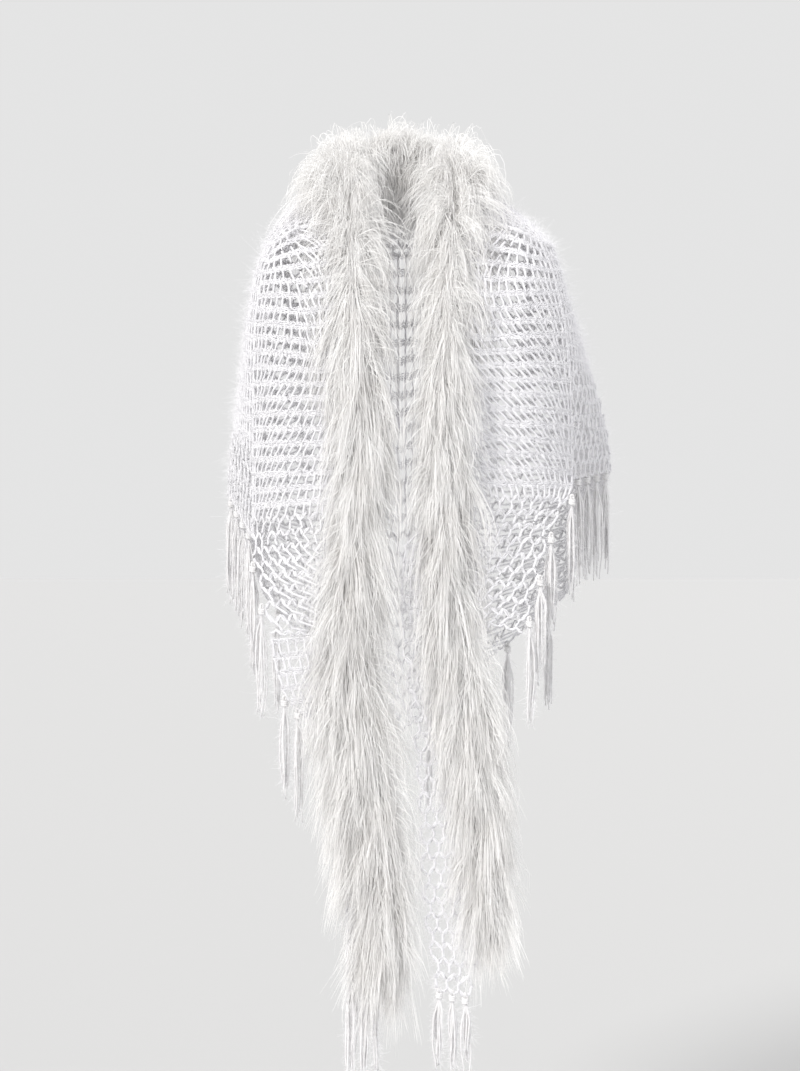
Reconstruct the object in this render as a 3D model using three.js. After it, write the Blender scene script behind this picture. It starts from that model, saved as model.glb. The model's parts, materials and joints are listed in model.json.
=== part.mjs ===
// Feather-edged openwork shawl, drawn as it hangs on a wearer: an ostrich boa bound on a core
// cord runs up one front edge, round the neck and down the other, an openwork net hangs from
// the cord, and knotted yarn tassels hang from the net's hems.
// Units are millimetres. +Z is up and the wearer faces -Y. The origin is on the neck's axis at
// the height of the shoulder line. "left" and "right" are as seen from the front: left is -X.
import * as THREE from 'three';

// ---- boa: cord, yarn and feather plies --------------------------------------------------
const COLLAR_HALF_WIDTH = 79;     // neck axis to the core cord, sideways
const COLLAR_BACK = 77;           // neck axis to the core cord at the nape
const COLLAR_HEIGHT = 10;         // core cord's height beside the neck
const COLLAR_RISE = 26;           // how much higher the cord runs at the nape
const FRONT_START = 58;           // drop of the first route point on each front edge
const FRONT_STEP = 72.5;          // drop from one route point to the next
const CHEST_DEPTH = 155;          // how far in front of the neck axis the edges hang
const SHOULDER_DEPTH = 40;        // the same, where the edges leave the collar
const CHEST_DROP = 290;           // drop over which the edges come forward to CHEST_DEPTH
const HINGE_STEP = 8;             // route point where the free tails begin
// sideways place of each front edge at each step, the right one past its cord to the net's tip
const LEFT_SWAY = [-68, -64, -62, -51, -49, -50, -58, -67, -70, -59, -52, -38, -26, -22, -20, -20];
const RIGHT_SWAY = [78, 74, 69, 61, 62, 66, 68, 71, 83, 97, 109, 116, 122, 125, 120, 105];
// half width of the feathers at each step
const LEFT_FULLNESS = [70, 64, 58, 52, 52, 56, 66, 72, 72, 69, 68, 61, 52, 48, 40, 30];
const RIGHT_FULLNESS = [66, 56, 47, 46, 49, 52, 52, 49, 50, 51, 47, 41, 30, 20, 16, 16];
const LEFT_CORD_END = 1073;       // drop to the left end of the core cord
const RIGHT_CORD_END = 1000;
const COLLAR_DOWN = 48;           // feathers' reach at the collar: along the net,
const COLLAR_UP_NAPE = 50;        // away from it at the nape,
const COLLAR_UP_SIDE = 28;        // away from it beside the neck,
const COLLAR_OUT = 52;            // outward,
const COLLAR_TO_NECK = 22;        // and towards the neck
const FRONT_REACH = 52;           // deepest reach of the feathers in front of the cord
const BACK_REACH = 52;            // and behind it
const DEPTH_OF_WIDTH = 0.85;      // feather depth over half width, where thinner than that
const BOA_CLEARANCE = 4;          // each boa's clearance to the plane midway between them
const CORD_RADIUS = 2;
const YARN_RADIUS = 1.2;
const YARN_PITCH = 90;
const YARN_STEPS = 8;             // straight pieces in one turn of the yarn
const TOUCH = 0.3;                // gap left between pieces that touch
const BINDING_LENGTH = 14;        // whipping at each end of the core cord
const BINDING_WALL = 1.2;
const SEGMENT_GAP = 2;            // between neighbouring lengths of feather ply
const JOINT_GAP = 6;              // from a tail's hinge line to the feathers, either way
const JOINT_TIP = 0.12;           // a ply's width at its pointed end at a hinge
const JOINT_TAPER = 36;           // length over which it comes up to full width
const TIP_TAPER = 60;             // length over which the free tips thin out
const STATION_STEP = 34;          // longest straight piece of the boa
const COLLAR_STATION_STEP = 14;   // and of its collar, where the net turns fast round the cord

// ---- net ----------------------------------------------------------------------------------
const NET_THICKNESS = 4;
const NET_LEAVE = 6;              // net stays flat this far past the feathers
const YOKE_DROP = 82;             // shoulder line, where the hanging panels begin
const ROUNDNESS = 2.5;            // superellipse exponent of the shawl's outline in plan
// the outline's half sizes at each drop: drop, left, right, front, back
const OUTLINE = [
  [82, 190, 222, 118, 122],
  [120, 207, 236, 130, 128],
  [200, 216, 252, 142, 134],
  [300, 217, 260, 148, 138],
  [500, 217, 262, 150, 142],
  [900, 217, 262, 150, 150],
];
const WING_HALF = 62;             // the side panels over the arms, half width front to back
const PANEL_GAP = 1.5;            // between the side panels and their neighbours
const LEFT_FLARE = 44;            // how much wider the side panels stand at their back hem
const RIGHT_FLARE = 72;
const FLARE_START = 150;          // drop where that flare begins
const FLARE_END = 430;
const LEFT_WING_HEM = [505, 440]; // drop of the side panels' hems, front and back corner
const RIGHT_WING_HEM = [420, 406];
// drop and sideways place of the front panels' outer hem, below the side panels
const LEFT_FRONT_HEM = [[505, 207], [638, 177]];
const RIGHT_FRONT_HEM = [[420, 250], [493, 213], [624, 177], [638, 172]];
const HEM_FLAT_DROP = 505;        // from here down the front panels turn flat at CHEST_DEPTH
const BACK_SHOULDER = 0.8;        // share of the back's width where its hem changes slope
const BACK_SHOULDER_HEM = 590;    // hem's drop there, its depth there, and the same at the point
const BACK_SHOULDER_DEPTH = 105;
const BACK_POINT_HEM = 800;
const BACK_POINT_DEPTH = 150;
// width of the tails' net from the cord: drop, width
const LEFT_TAIL_NET = [[638, 107], [715, 100], [745, 76], [775, 50], [1112, 50]];
const RIGHT_TAIL_NET = [[638, 78], [740, 84], [855, 88], [957, 91], [1000, 90], [1073, 80], [1145, 52]];
const LEFT_NET_END = 1112;
const RIGHT_NET_END = 1145;
const INNER_NET = [[480, 20], [510, 58], [638, 76]];   // net turned in behind the right boa

// ---- tassels --------------------------------------------------------------------------------
const KNOT_RADIUS = 6;
const NECK_RADIUS = 3.5;
const SKIRT_RADIUS = 7.5;
const TASSEL_LENGTH = 138;
const TASSEL_SIDES = 8;
const KNOT_FLAT = 0.96;           // a faceted knot's half width across its flats, over its radius
const SHORT_TASSEL_LENGTH = 100;
// drops of the single tassels on the steep front hems
const FRONT_TASSELS = [['left_front', -1, [545, 605]], ['right_front', 1, [450, 505, 565, 622]]];

const WHITE_FEATHER = 0xf4f2f0;
const WHITE_NET = 0xeeecf0;
const WHITE_YARN = 0xf1efee;
const CORD_WHITE = 0xe6e2dc;

const vec = (x, y, z) => new THREE.Vector3(x, y, z);
const clamp = THREE.MathUtils.clamp;
const lerp = THREE.MathUtils.lerp;
const smooth = (x, low, high) => THREE.MathUtils.smoothstep(x, low, high);

// Value of a list of [place, value, ...] rows at a place, straight between rows.
function along(rows, place, column = 1) {
  if (place <= rows[0][0]) return rows[0][column];
  for (let i = 1; i < rows.length; i += 1) {
    if (place <= rows[i][0]) {
      const share = (place - rows[i - 1][0]) / (rows[i][0] - rows[i - 1][0]);
      return lerp(rows[i - 1][column], rows[i][column], share);
    }
  }
  return rows[rows.length - 1][column];
}

// ---- closed solids ------------------------------------------------------------------------
// A BufferGeometry from points and triangles, turned so that its faces point out.
function closedSolid(points, triangles) {
  let volume = 0;
  for (const [a, b, c] of triangles) {
    volume += points[a].dot(points[b].clone().cross(points[c]));
  }
  const ordered = volume > 0 ? triangles : triangles.map(([a, b, c]) => [a, c, b]);
  const geometry = new THREE.BufferGeometry();
  geometry.setAttribute(
    'position',
    new THREE.Float32BufferAttribute(points.flatMap((p) => [p.x, p.y, p.z]), 3),
  );
  geometry.setIndex(ordered.flat());
  geometry.computeVertexNormals();
  return geometry;
}

// A closed solid through convex rings of equally many points.
function loft(rings) {
  const sides = rings[0].length;
  const points = rings.flat();
  const triangles = [];
  for (let i = 0; i + 1 < rings.length; i += 1) {
    for (let j = 0; j < sides; j += 1) {
      const a = i * sides + j;
      const b = i * sides + ((j + 1) % sides);
      triangles.push([a, b, a + sides], [b, b + sides, a + sides]);
    }
  }
  const last = (rings.length - 1) * sides;
  for (let j = 1; j + 1 < sides; j += 1) {
    triangles.push([0, j + 1, j], [last, last + j, last + j + 1]);
  }
  return closedSolid(points, triangles);
}

// A cloth of one thickness about a grid of {at, normal}; a missing normal comes from the grid.
function cloth(grid, thickness = NET_THICKNESS) {
  const rows = grid.length;
  const columns = grid[0].length;
  const face = (i, j) => grid[clamp(i, 0, rows - 1)][clamp(j, 0, columns - 1)].at;
  const outward = (i, j) => {
    if (grid[i][j].normal) return grid[i][j].normal;
    const down = face(i + 1, j).clone().sub(face(i - 1, j));
    const across = face(i, j + 1).clone().sub(face(i, j - 1));
    const normal = down.cross(across).normalize();
    const reference = grid[i][j].facing;
    return normal.dot(reference) < 0 ? normal.negate() : normal;
  };
  const points = [];
  for (const sign of [1, -1]) {
    for (let i = 0; i < rows; i += 1) {
      for (let j = 0; j < columns; j += 1) {
        points.push(grid[i][j].at.clone().addScaledVector(outward(i, j), (sign * thickness) / 2));
      }
    }
  }
  const index = (layer, i, j) => layer * rows * columns + i * columns + j;
  const triangles = [];
  const quad = (a, b, c, d) => triangles.push([a, b, c], [a, c, d]);
  for (let i = 0; i + 1 < rows; i += 1) {
    for (let j = 0; j + 1 < columns; j += 1) {
      quad(index(0, i, j), index(0, i + 1, j), index(0, i + 1, j + 1), index(0, i, j + 1));
      quad(index(1, i, j), index(1, i, j + 1), index(1, i + 1, j + 1), index(1, i + 1, j));
    }
    const right = columns - 1;
    quad(index(0, i, 0), index(1, i, 0), index(1, i + 1, 0), index(0, i + 1, 0));
    quad(index(0, i, right), index(0, i + 1, right), index(1, i + 1, right), index(1, i, right));
  }
  for (let j = 0; j + 1 < columns; j += 1) {
    const low = rows - 1;
    quad(index(0, 0, j), index(0, 0, j + 1), index(1, 0, j + 1), index(1, 0, j));
    quad(index(0, low, j), index(1, low, j), index(1, low, j + 1), index(0, low, j + 1));
  }
  return closedSolid(points, triangles);
}

// ---- the boa's route ----------------------------------------------------------------------
// Each route point has its place, the way its net leaves it, and the feathers' reach:
// along the net, away from it, outward and inward.
function frontPoint(side, step) {
  const sway = side < 0 ? LEFT_SWAY : RIGHT_SWAY;
  const fullness = (side < 0 ? LEFT_FULLNESS : RIGHT_FULLNESS)[step];
  const drop = FRONT_START + FRONT_STEP * step;
  const forward = Math.sin(clamp(drop / CHEST_DROP, 0, 1) * Math.PI / 2);
  const depth = lerp(SHOULDER_DEPTH, CHEST_DEPTH, forward);
  const apart = RIGHT_SWAY[step] - LEFT_SWAY[step];
  const turnBack = 0.33 * smooth(drop, 60, 200) * (1 - smooth(drop, 480, 600));
  return {
    at: vec(sway[step], -depth, -drop),
    leave: vec(side, turnBack, -0.5 * (1 - smooth(drop, 20, 110))),
    reach: [
      fullness,
      Math.min(fullness, apart / 2 - BOA_CLEARANCE),
      Math.min(fullness * DEPTH_OF_WIDTH, FRONT_REACH),
      Math.min(fullness * DEPTH_OF_WIDTH, BACK_REACH),
    ],
  };
}

function collarPoint(turn) {
  const angle = turn * Math.PI;
  const nape = Math.sin(angle);
  return {
    at: vec(-COLLAR_HALF_WIDTH * Math.cos(angle), COLLAR_BACK * nape, COLLAR_HEIGHT + COLLAR_RISE * nape),
    leave: vec(-Math.cos(angle), 0.92 * nape, -0.5 - 1.7 * nape * nape),
    reach: [COLLAR_DOWN, lerp(COLLAR_UP_SIDE, COLLAR_UP_NAPE, nape * nape), COLLAR_OUT, COLLAR_TO_NECK],
  };
}

const COLLAR_POINTS = 7;
const ROUTE = [
  ...LEFT_SWAY.map((_, step) => frontPoint(-1, step)).reverse(),
  ...Array.from({ length: COLLAR_POINTS }, (_, i) => collarPoint(i / (COLLAR_POINTS - 1))),
  ...RIGHT_SWAY.map((_, step) => frontPoint(1, step)),
];
const CURVE = new THREE.CatmullRomCurve3(ROUTE.map((point) => point.at), false, 'centripetal');
const COLLAR_FIRST = LEFT_SWAY.length;
const COLLAR_LAST = COLLAR_FIRST + COLLAR_POINTS - 1;

// The frame at a place counted in route points: n lies in the net, b faces the outside.
function exactFrame(place) {
  const share = place / (ROUTE.length - 1);
  const low = Math.min(Math.floor(place), ROUTE.length - 2);
  const part = place - low;
  const at = CURVE.getPoint(share);
  const along3 = CURVE.getTangent(share);
  const leave = ROUTE[low].leave.clone().lerp(ROUTE[low + 1].leave, part);
  const n = leave.addScaledVector(along3, -leave.dot(along3)).normalize();
  const b = along3.clone().cross(n).normalize();
  const reach = ROUTE[low].reach.map((value, i) => lerp(value, ROUTE[low + 1].reach[i], part));
  return { place, at, n, b, reach };
}

// Place on one front edge with a given drop.
function placeAtDrop(side, drop) {
  const step = (drop - FRONT_START) / FRONT_STEP;
  const start = side < 0 ? COLLAR_FIRST - 1 : COLLAR_LAST + 1;
  let low = start + side * (step - 0.6);
  let high = start + side * (step + 0.6);
  for (let i = 0; i < 40; i += 1) {
    const middle = clamp((low + high) / 2, 0, ROUTE.length - 1);
    const deeper = -CURVE.getPoint(middle / (ROUTE.length - 1)).z > drop;
    if (deeper) high = middle;
    else low = middle;
  }
  return clamp((low + high) / 2, 0, ROUTE.length - 1);
}

const HINGE_DROP = FRONT_START + FRONT_STEP * HINGE_STEP;
const COLLAR_ENDS = [COLLAR_FIRST - 0.35, COLLAR_LAST + 0.35];
const AT = {
  leftNetEnd: placeAtDrop(-1, LEFT_NET_END),
  leftCordEnd: placeAtDrop(-1, LEFT_CORD_END),
  leftHinge: placeAtDrop(-1, HINGE_DROP),
  collarLeft: COLLAR_ENDS[0],
  collarRight: COLLAR_ENDS[1],
  rightHinge: placeAtDrop(1, HINGE_DROP),
  rightCordEnd: placeAtDrop(1, RIGHT_CORD_END),
  rightNetEnd: placeAtDrop(1, RIGHT_NET_END),
};

// Length of the route up to a place, and the place at a length.
const FINE = 40;
const LENGTHS = [0];
for (let i = 1; i <= (ROUTE.length - 1) * FINE; i += 1) {
  const span = (ROUTE.length - 1) * FINE;
  LENGTHS.push(LENGTHS[i - 1] + CURVE.getPoint(i / span).distanceTo(CURVE.getPoint((i - 1) / span)));
}
function lengthAt(place) {
  const low = Math.min(Math.floor(place * FINE), LENGTHS.length - 2);
  return lerp(LENGTHS[low], LENGTHS[low + 1], place * FINE - low);
}
function placeAfter(place, distance) {
  const wanted = lengthAt(place) + distance;
  let high = LENGTHS.findIndex((length) => length >= wanted);
  if (high < 1) high = LENGTHS.length - 1;
  return (high - 1 + (wanted - LENGTHS[high - 1]) / (LENGTHS[high] - LENGTHS[high - 1])) / FINE;
}

const SAME_STATION = 1.5;         // stations nearer than this are one
// Stations shared by every piece on the boa, so that what lies side by side bends alike.
function stationPlaces() {
  const fixed = [0, ROUTE.length - 1, ...Object.values(AT)];
  const corners = (side, rows) => rows.map(([drop]) => placeAtDrop(side, drop));
  fixed.push(...corners(-1, LEFT_TAIL_NET), ...corners(-1, LEFT_FRONT_HEM));
  fixed.push(...corners(1, RIGHT_TAIL_NET), ...corners(1, RIGHT_FRONT_HEM), ...corners(1, INNER_NET));
  for (const hinge of [AT.leftHinge, AT.rightHinge]) {
    for (const away of [JOINT_GAP, JOINT_TAPER]) {
      fixed.push(placeAfter(hinge, away), placeAfter(hinge, -away));
    }
  }
  fixed.sort((a, b) => a - b);
  const places = [fixed[0]];
  for (let i = 1; i < fixed.length; i += 1) {
    const length = lengthAt(fixed[i]) - lengthAt(fixed[i - 1]);
    if (length < SAME_STATION) continue;
    const onCollar = fixed[i - 1] >= AT.collarLeft && fixed[i] <= AT.collarRight;
    const count = Math.ceil(length / (onCollar ? COLLAR_STATION_STEP : STATION_STEP));
    for (let k = 1; k <= count; k += 1) {
      places.push(placeAfter(fixed[i - 1], (length * k) / count));
    }
  }
  return places;
}
const STATIONS = stationPlaces().map(exactFrame);

// Frame at any place, straight between the two stations beside it.
function frameAt(place) {
  let high = STATIONS.findIndex((station) => station.place > place);
  if (high < 1) high = high === 0 ? 1 : STATIONS.length - 1;
  const [one, two] = [STATIONS[high - 1], STATIONS[high]];
  const part = (place - one.place) / (two.place - one.place);
  return {
    place,
    at: one.at.clone().lerp(two.at, part),
    n: one.n.clone().lerp(two.n, part),
    b: one.b.clone().lerp(two.b, part),
    reach: one.reach.map((value, i) => lerp(value, two.reach[i], part)),
  };
}

// The stations from one place to another, both ends included.
function framesBetween(from, to) {
  const inside = STATIONS.filter((s) => s.place > from + 1e-6 && s.place < to - 1e-6);
  return [frameAt(from), ...inside.map((s) => frameAt(s.place)), frameAt(to)];
}

const offset = (frame, u, v) => frame.at.clone().addScaledVector(frame.n, u).addScaledVector(frame.b, v);

// ---- the boa's pieces -----------------------------------------------------------------------
const CORD_SIDES = 8;
const YARN_CENTRE = (CORD_RADIUS + YARN_RADIUS + TOUCH) / Math.cos(Math.PI / YARN_STEPS);
const SLIT = YARN_CENTRE + YARN_RADIUS + TOUCH;   // from the cord's middle to each ply
const NET_EDGE = SLIT + 0.1;                          // and to the net's bound edge

function cordRing(frame, radius, shift = 0, direction = null) {
  return Array.from({ length: CORD_SIDES }, (_, i) => {
    const angle = (2 * Math.PI * i) / CORD_SIDES;
    const point = offset(frame, radius * Math.cos(angle), radius * Math.sin(angle));
    return direction ? point.addScaledVector(direction, shift) : point;
  });
}

// Core cord from one place to another. A rounded end is centred on the tail's hinge line.
function coreCord(from, to, roundedEnd = 0) {
  const frames = framesBetween(from, to);
  const rings = frames.map((frame) => cordRing(frame, CORD_RADIUS));
  if (roundedEnd) {
    const end = roundedEnd > 0 ? frames[frames.length - 1] : frames[0];
    for (const angle of [30, 60]) {
      const a = THREE.MathUtils.degToRad(angle);
      const cap = cordRing(end, CORD_RADIUS * Math.cos(a), CORD_RADIUS * Math.sin(a), vec(0, 0, 1));
      if (roundedEnd > 0) rings.push(cap);
      else rings.unshift(cap);
    }
  }
  return loft(rings);
}

// Binding yarn wound round the core cord.
function bindingYarn(from, to) {
  const start = lengthAt(from);
  const stops = framesBetween(from, to).map((frame) => lengthAt(frame.place));
  const places = [from];
  for (let i = 1; i < stops.length; i += 1) {
    const span = stops[i] - stops[i - 1];
    const count = Math.max(1, Math.round((span / YARN_PITCH) * YARN_STEPS));
    for (let k = 1; k <= count; k += 1) {
      places.push(placeAfter(from, stops[i - 1] - start + (span * k) / count));
    }
  }
  const rings = places.map((place) => {
    const frame = frameAt(place);
    const angle = (2 * Math.PI * (lengthAt(place) - start)) / YARN_PITCH;
    const radial = frame.n.clone().multiplyScalar(Math.cos(angle)).addScaledVector(frame.b, Math.sin(angle));
    const sideways = frame.n.clone().cross(frame.b).cross(radial).normalize();
    const centre = frame.at.clone().addScaledVector(radial, YARN_CENTRE);
    return [0, 1, 2, 3].map((i) => {
      const around = (i * Math.PI) / 2;
      return centre.clone()
        .addScaledVector(radial, YARN_RADIUS * Math.cos(around))
        .addScaledVector(sideways, YARN_RADIUS * Math.sin(around));
    });
  });
  return loft(rings);
}

// Half of the feathers between two places: face is 1 for the outer ply and -1 for the inner.
// full(distance from start, distance from end) is the share of the full reach.
function featherPly(from, to, face, full) {
  const last = lengthAt(to);
  const first = lengthAt(from);
  const quarter = 3;
  const rings = framesBetween(from, to).map((frame) => {
    const here = lengthAt(frame.place);
    const share = full(here - first, last - here);
    const [net, away] = [frame.reach[0] * share, frame.reach[1] * share];
    const depth = Math.max((face > 0 ? frame.reach[2] : frame.reach[3]) * share, 1);
    const curved = (i) => {
      const angle = (Math.PI * i) / (2 * quarter);
      const width = i < quarter ? net : away;
      return offset(frame, width * Math.cos(angle), face * (SLIT + depth * Math.sin(angle)));
    };
    const ring = [];
    for (let i = quarter; i <= 2 * quarter; i += 1) ring.push(curved(i));
    for (const u of [-away / 2, -away / 8, net / 8, net / 3, (2 * net) / 3]) {
      ring.push(offset(frame, u, face * SLIT));
    }
    for (let i = 0; i < quarter; i += 1) ring.push(curved(i));
    return ring;
  });
  return loft(rings);
}

const even = () => 1;
const hingeTaper = (distance) => lerp(JOINT_TIP, 1, clamp(distance / (JOINT_TAPER - JOINT_GAP), 0, 1));
const tipTaper = (distance) => lerp(0.45, 1, smooth(distance, 0, TIP_TAPER));

// Whipping that closes the end of the core cord, outside the binding yarn's last turn.
function endBinding(place, direction) {
  const frame = frameAt(place);
  const down = vec(0, 0, -1);
  const inner = CORD_RADIUS + BINDING_WALL;
  const profile = [
    [inner * 0.8, 0], [inner, 1.5], [inner, BINDING_LENGTH - 1.5], [inner * 0.8, BINDING_LENGTH],
  ];
  const rings = profile.map(([radius, low]) => {
    return cordRing(frame, radius, TOUCH + low, down);
  });
  return loft(direction > 0 ? rings : rings.reverse());
}

// ---- the net's outline ----------------------------------------------------------------------
const outlineSide = (side, drop) => along(OUTLINE, drop, side < 0 ? 1 : 2);
const outlineDepth = (face, drop) => along(OUTLINE, drop, face < 0 ? 3 : 4);
const round = (share) => (1 - Math.min(Math.abs(share), 1) ** ROUNDNESS) ** (1 / ROUNDNESS);

// Flare of the side panels and the back at a depth y and a drop.
function flare(side, y, drop) {
  const most = side < 0 ? LEFT_FLARE : RIGHT_FLARE;
  const backward = clamp((y + WING_HALF) / (2 * WING_HALF), 0, 1);
  return most * backward * clamp((drop - FLARE_START) / (FLARE_END - FLARE_START), 0, 1);
}
function sideX(side, y, drop) {
  const depth = outlineDepth(y, drop);
  return side * (outlineSide(side, drop) * round(y / depth) + flare(side, y, drop));
}
function frontY(side, x, drop) {
  return -outlineDepth(-1, drop) * round(x / outlineSide(side, drop));
}
function outlineNormal(x, y) {
  return vec(x, y * 1.6, 0).normalize();
}

// Outer end of a front panel's row whose station has this drop.
const FRONT_TOP = 42;
function frontRowEnd(side, stationDrop) {
  const settle = 150;
  const drop = stationDrop >= settle
    ? stationDrop
    : lerp(YOKE_DROP, settle, (stationDrop - FRONT_TOP) / (settle - FRONT_TOP));
  const [wingHem] = side < 0 ? LEFT_WING_HEM : RIGHT_WING_HEM;
  const edge = -(WING_HALF + PANEL_GAP);
  const hemRows = side < 0 ? LEFT_FRONT_HEM : RIGHT_FRONT_HEM;
  const beside = sideX(side, edge, Math.min(drop, wingHem));
  if (drop <= wingHem) return vec(beside, edge, -drop);
  const start = along(hemRows, wingHem);
  const x = side * along(hemRows, drop);
  const y = frontY(side, x * (Math.abs(beside) / start), drop);
  const flat = smooth(drop, wingHem, HINGE_DROP);
  const ease = clamp((drop - wingHem) / 60, 0, 1);
  return vec(lerp(beside, x, ease), lerp(Math.max(y, -CHEST_DEPTH), -CHEST_DEPTH, flat), -drop);
}

const bound = (frame, u) => ({ at: offset(frame, u, 0), normal: frame.b.clone().normalize() });

// The part of a row that lies flat between the plies, from the cord to where it leaves them.
function boundPart(frame) {
  const net = frame.reach[0];
  return [NET_EDGE, net / 3, (2 * net) / 3, net + NET_LEAVE].map((u) => bound(frame, u));
}

// One row of a front panel: flat between the plies, then out to the row's end.
function frontRow(side, frame) {
  const columns = 6;
  const row = boundPart(frame);
  const leaveAt = row[row.length - 1];
  const end = frontRowEnd(side, -frame.at.z);
  const flat = smooth(-frame.at.z, HEM_FLAT_DROP, HINGE_DROP);
  for (let j = 1; j <= columns; j += 1) {
    const share = j / columns;
    const x = lerp(leaveAt.at.x, end.x, share);
    const drop = -lerp(leaveAt.at.z, end.z, share);
    const onOutline = frontY(side, x, Math.max(drop, YOKE_DROP));
    const straight = lerp(leaveAt.at.y, end.y, share);
    const pull = smooth(share, 0, 0.5) * (1 - smooth(share, 0.8, 1)) * (1 - flat);
    const y = lerp(straight, Math.min(onOutline, straight), pull);
    row.push({ at: vec(x, y, -drop), facing: vec(side * 0.3, -1, 0.2) });
  }
  return row;
}

// Point on the shoulder line; turn 0 is the front corner, 1 and 2 the back corners, 3 the front.
function shoulderLine(turn) {
  const drop = YOKE_DROP;
  if (turn <= 1 || turn >= 2) {
    const side = turn <= 1 ? -1 : 1;
    const y = side < 0 ? lerp(-WING_HALF, WING_HALF, turn) : lerp(WING_HALF, -WING_HALF, turn - 2);
    return vec(sideX(side, y, drop), y, -drop);
  }
  const left = sideX(-1, WING_HALF, drop);
  const right = sideX(1, WING_HALF, drop);
  const x = lerp(left, right, turn - 1);
  return vec(x, outlineDepth(1, drop) * round(x / outlineSide(x, drop)), -drop);
}

// One row of the yoke: flat between the plies, then curving down to the shoulder line.
function yokeRow(frame, turn) {
  const columns = 5;
  const row = boundPart(frame);
  const leaveAt = row[row.length - 1];
  const end = shoulderLine(turn);
  const way = frame.n.clone().multiplyScalar(leaveAt.at.distanceTo(end) * 0.45);
  const curve = new THREE.QuadraticBezierCurve3(leaveAt.at, leaveAt.at.clone().add(way), end);
  for (let j = 1; j <= columns; j += 1) {
    const at = curve.getPoint(j / columns);
    const level = outlineNormal(end.x, end.y);
    row.push(j === columns ? { at, normal: level } : { at, facing: vec(0, 0, 1).add(level) });
  }
  return row;
}

const FRONT_TOP_LEFT = placeAtDrop(-1, FRONT_TOP);
const FRONT_TOP_RIGHT = placeAtDrop(1, FRONT_TOP);
const NAPE_LEFT = COLLAR_FIRST + 1.3;
const NAPE_RIGHT = COLLAR_LAST - 1.3;
const YOKE_GAP = 1;

// Point on a front panel's outer hem, straight between the stations' rows.
function frontHem(side, drop) {
  const place = placeAtDrop(side, drop);
  const high = STATIONS.findIndex((station) => station.place > place);
  const [one, two] = [STATIONS[high - 1], STATIONS[high]];
  const part = (place - one.place) / (two.place - one.place);
  return frontRowEnd(side, -one.at.z).lerp(frontRowEnd(side, -two.at.z), part);
}

// A yoke panel between two places, whose outer ends run from one turn to another.
function yokePanel(from, to, turnFrom, turnTo) {
  const frames = framesBetween(placeAfter(from, YOKE_GAP), placeAfter(to, -YOKE_GAP));
  const rows = frames.map((frame) => {
    const share = (frame.place - from) / (to - from);
    return yokeRow(frame, lerp(turnFrom, turnTo, share));
  });
  return cloth(rows);
}

function frontPanel(side) {
  const hinge = side < 0 ? AT.leftHinge : AT.rightHinge;
  const top = side < 0 ? FRONT_TOP_LEFT : FRONT_TOP_RIGHT;
  const ends = [placeAfter(hinge, -side * PANEL_GAP), placeAfter(top, side * YOKE_GAP)];
  const frames = framesBetween(Math.min(...ends), Math.max(...ends));
  return cloth(frames.map((frame) => frontRow(side, frame)));
}

const WING_TOP = YOKE_DROP + 2 * TOUCH;
function wingHemLine(side) {
  const [front, back] = side < 0 ? LEFT_WING_HEM : RIGHT_WING_HEM;
  return [
    vec(sideX(side, -WING_HALF, front), -WING_HALF, -front),
    vec(sideX(side, WING_HALF, back), WING_HALF, -back),
  ];
}
// Side panel over an arm, cut by two planes of constant y so that it can swing between them.
function wingPanel(side) {
  const [columns, rows] = [8, 9];
  const [frontHem, backHem] = side < 0 ? LEFT_WING_HEM : RIGHT_WING_HEM;
  const [frontCorner, backCorner] = wingHemLine(side);
  const grid = [];
  for (let i = 0; i <= rows; i += 1) {
    const row = [];
    for (let j = 0; j <= columns; j += 1) {
      const across = j / columns;
      const y = lerp(-WING_HALF, WING_HALF, across);
      const down = i / rows;
      const drop = lerp(WING_TOP, lerp(frontHem, backHem, across), down);
      const hemX = lerp(frontCorner.x, backCorner.x, across);
      const at = vec(lerp(sideX(side, y, drop), hemX, down ** 3), y, -drop);
      row.push({ at, normal: vec(side, 0, 0) });
    }
    grid.push(row);
  }
  return cloth(grid);
}

// The back's half width at a drop, measured where it meets a side panel.
function backEdge(side, drop) {
  return Math.abs(sideX(side, WING_HALF, drop));
}
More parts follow.
